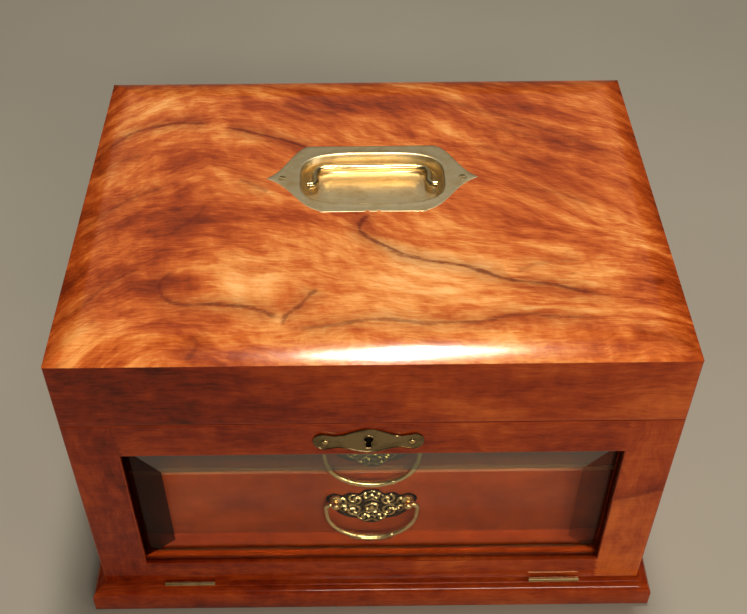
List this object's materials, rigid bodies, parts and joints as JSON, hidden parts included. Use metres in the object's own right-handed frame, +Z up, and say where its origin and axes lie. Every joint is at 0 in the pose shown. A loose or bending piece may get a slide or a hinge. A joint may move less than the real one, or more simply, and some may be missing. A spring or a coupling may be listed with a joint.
{
  "type": "glazed fall-front casket",
  "caption": "Veneered wooden box with a hinged cushion lid over a lined well, and stacked drawers behind a glazed fall front.",
  "frame": {"origin": "centre of the underside of the plinth", "axes": "+X right, +Y from the glazed front to the back, +Z up"},
  "size_m": [0.315, 0.242, 0.2025],
  "materials": {
    "walnut": "french-polished figured walnut veneer",
    "mahogany": "waxed plain timber",
    "brass": "polished and lacquered",
    "steel": "filed",
    "glass": "bevelled plate glass",
    "velvet": "cotton velvet"
  },
  "bodies": {
    "case": {"plinth_front": "walnut", "plinth_right": "walnut", "plinth_back": "walnut", "plinth_left": "walnut", "side_left": "walnut", "side_right": "walnut", "back_panel": "walnut", "base_board": "mahogany", "base_rail": "walnut", "runner_left": "mahogany", "runner_right": "mahogany", "dust_board": "mahogany", "well_floor": "mahogany", "well_front_rail": "walnut", "well_lining": "velvet", "front_hinge_fixed_leaf_left": "brass", "front_hinge_fixed_leaf_right": "brass", "lid_hinge_fixed_leaf_left": "brass", "lid_hinge_fixed_leaf_right": "brass"},
    "lid": {"lid_top": "walnut", "lid_front_rail": "walnut", "lid_back_rail": "walnut", "lid_left_rail": "walnut", "lid_right_rail": "walnut", "lid_lining": "velvet", "flush_handle_plate": "brass", "link_plate": "brass", "lid_hinge_moving_leaf_left": "brass", "lid_hinge_moving_leaf_right": "brass"},
    "flush_handle": {"flush_handle_bail": "brass"},
    "front": {"front_stile_left": "walnut", "front_stile_right": "walnut", "front_top_rail": "walnut", "front_bottom_rail": "walnut", "front_glass": "glass", "glass_bead_left": "walnut", "glass_bead_right": "walnut", "glass_bead_top": "walnut", "glass_bead_bottom": "walnut", "escutcheon": "brass", "lock_case": "steel", "front_hinge_moving_leaf_left": "brass", "front_hinge_moving_leaf_right": "brass"},
    "lock_bolt": {"lock_bolt": "steel"},
    "lower_drawer": {"lower_drawer_front": "walnut", "lower_drawer_side_left": "mahogany", "lower_drawer_side_right": "mahogany", "lower_drawer_back": "mahogany", "lower_drawer_bottom": "mahogany", "lower_drawer_backplate": "brass"},
    "lower_bail": {"lower_drawer_bail": "brass"},
    "upper_drawer": {"upper_drawer_front": "walnut", "upper_drawer_side_left": "mahogany", "upper_drawer_side_right": "mahogany", "upper_drawer_back": "mahogany", "upper_drawer_bottom": "mahogany", "upper_drawer_backplate": "brass"},
    "upper_bail": {"upper_drawer_bail": "brass"}
  },
  "joints": [
    {"name": "lid_hinge", "type": "hinge", "parent": "case", "child": "lid", "pos_m": [0, 0.1154, 0.1557], "axis": [-1, 0, 0], "range_deg": [0, 95]},
    {"name": "flush_handle_swing", "type": "hinge", "parent": "lid", "child": "flush_handle", "pos_m": [0.002, 0.016, 0.1977], "axis": [1, 0, 0], "range_deg": [0, 90]},
    {"name": "front_fall", "type": "hinge", "parent": "case", "child": "front", "pos_m": [0, -0.1154, 0.018], "axis": [1, 0, 0], "range_deg": [0, 90]},
    {"name": "lock_bolt_slide", "type": "slide", "parent": "front", "child": "lock_bolt", "axis": [1, 0, 0], "range_m": [0, 0.0055]},
    {"name": "lower_drawer_slide", "type": "slide", "parent": "case", "child": "lower_drawer", "axis": [0, -1, 0], "range_m": [0, 0.0315]},
    {"name": "upper_drawer_slide", "type": "slide", "parent": "case", "child": "upper_drawer", "axis": [0, -1, 0], "range_m": [0, 0.1201]},
    {"name": "lower_bail_swing", "type": "hinge", "parent": "lower_drawer", "child": "lower_bail", "pos_m": [0, -0.0995, 0.0715], "axis": [-1, 0, 0], "range_deg": [0, 8]},
    {"name": "upper_bail_swing", "type": "hinge", "parent": "upper_drawer", "child": "upper_bail", "pos_m": [0, -0.0995, 0.1203], "axis": [-1, 0, 0], "range_deg": [0, 8]}
  ],
  "couplings": [
    {"joint": "lower_drawer_slide", "follows": "front_fall", "m_per_rad": 0.02},
    {"joint": "upper_drawer_slide", "follows": "front_fall", "m_per_rad": 0.0764}
  ]
}
